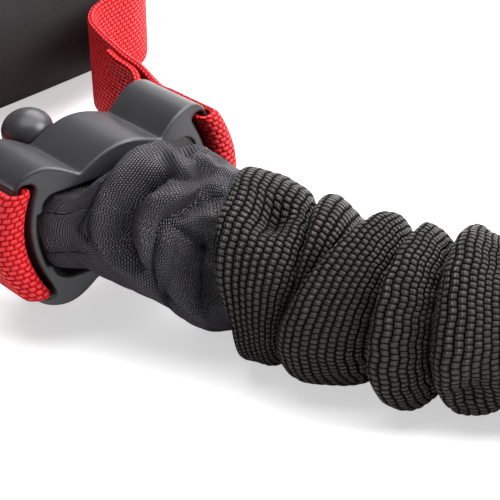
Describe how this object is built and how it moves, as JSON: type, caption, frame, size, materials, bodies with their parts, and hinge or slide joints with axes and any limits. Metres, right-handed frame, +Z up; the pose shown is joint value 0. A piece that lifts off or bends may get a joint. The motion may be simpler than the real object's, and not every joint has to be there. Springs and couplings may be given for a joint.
{
  "type": "resistance tube with handles",
  "caption": "Elastic exercise tube in a ruched textile sleeve, with a wavy moulded connector and a strap handle on each end.",
  "frame": {"origin": "on the surface the tube lies on, under the middle of the two handles with their connectors and tube fittings", "axes": "+X from handle a to handle b, +Y from the tube's bend towards the grips, +Z up"},
  "size_m": [0.5636, 0.4827, 0.0426],
  "materials": {
    "soft_touch_plastic": "satin, finely grained",
    "hard_plastic": "satin",
    "red_webbing": "ribbed weave",
    "black_webbing": "flat weave",
    "black_nylon": "fine plain weave with a slight sheen",
    "ruched_textile": "coarse basket weave",
    "latex": "smooth",
    "steel": "bright",
    "foam": "closed-cell foam, matt"
  },
  "bodies": {
    "tube": {"ruched_sleeve": "ruched_textile", "latex_tube": "latex", "cuff_a": "black_nylon", "cuff_b": "black_nylon", "anchor_loop_a": "black_webbing", "anchor_loop_b": "black_webbing", "crimp_ring_a": "steel", "crimp_ring_b": "steel", "tube_plug_a": "hard_plastic", "tube_plug_b": "hard_plastic", "toggle_a": "soft_touch_plastic", "toggle_b": "soft_touch_plastic"},
    "connector_a": {"connector_a": "soft_touch_plastic"},
    "connector_b": {"connector_b": "soft_touch_plastic"},
    "strap_a": {"handle_strap_a": "red_webbing"},
    "strap_b": {"handle_strap_b": "red_webbing"},
    "grip_a": {"grip_foam_a": "foam", "grip_core_a": "hard_plastic", "grip_cap_a_left": "hard_plastic", "grip_cap_a_right": "hard_plastic"},
    "grip_b": {"grip_foam_b": "foam", "grip_core_b": "hard_plastic", "grip_cap_b_left": "hard_plastic", "grip_cap_b_right": "hard_plastic"}
  },
  "joints": [
    {"name": "swivel_a", "type": "hinge", "parent": "tube", "child": "connector_a", "pos_m": [-0.2299, 0.0005, 0.02144], "axis": [0, 0.2079, 0.9781], "range_deg": [-10, 42], "deforming": ["cuff_a"]},
    {"name": "swivel_b", "type": "hinge", "parent": "tube", "child": "connector_b", "pos_m": [0.2299, 0.0005, 0.02144], "axis": [0, 0.2079, 0.9781], "range_deg": [-42, 10], "deforming": ["cuff_b"]},
    {"name": "fold_a", "type": "hinge", "parent": "connector_a", "child": "strap_a", "pos_m": [-0.223, -0.00062, 0.02168], "axis": [1, 0, 0], "range_deg": [0, 75], "deforming": ["handle_strap_a"]},
    {"name": "fold_b", "type": "hinge", "parent": "connector_b", "child": "strap_b", "pos_m": [0.223, -0.00062, 0.02168], "axis": [1, 0, 0], "range_deg": [0, 75], "deforming": ["handle_strap_b"]},
    {"name": "spin_a", "type": "hinge", "parent": "strap_a", "child": "grip_a", "pos_m": [-0.223, 0.06375, 0.018], "axis": [1, 0, 0], "continuous": true},
    {"name": "spin_b", "type": "hinge", "parent": "strap_b", "child": "grip_b", "pos_m": [0.223, 0.06375, 0.018], "axis": [1, 0, 0], "continuous": true}
  ]
}
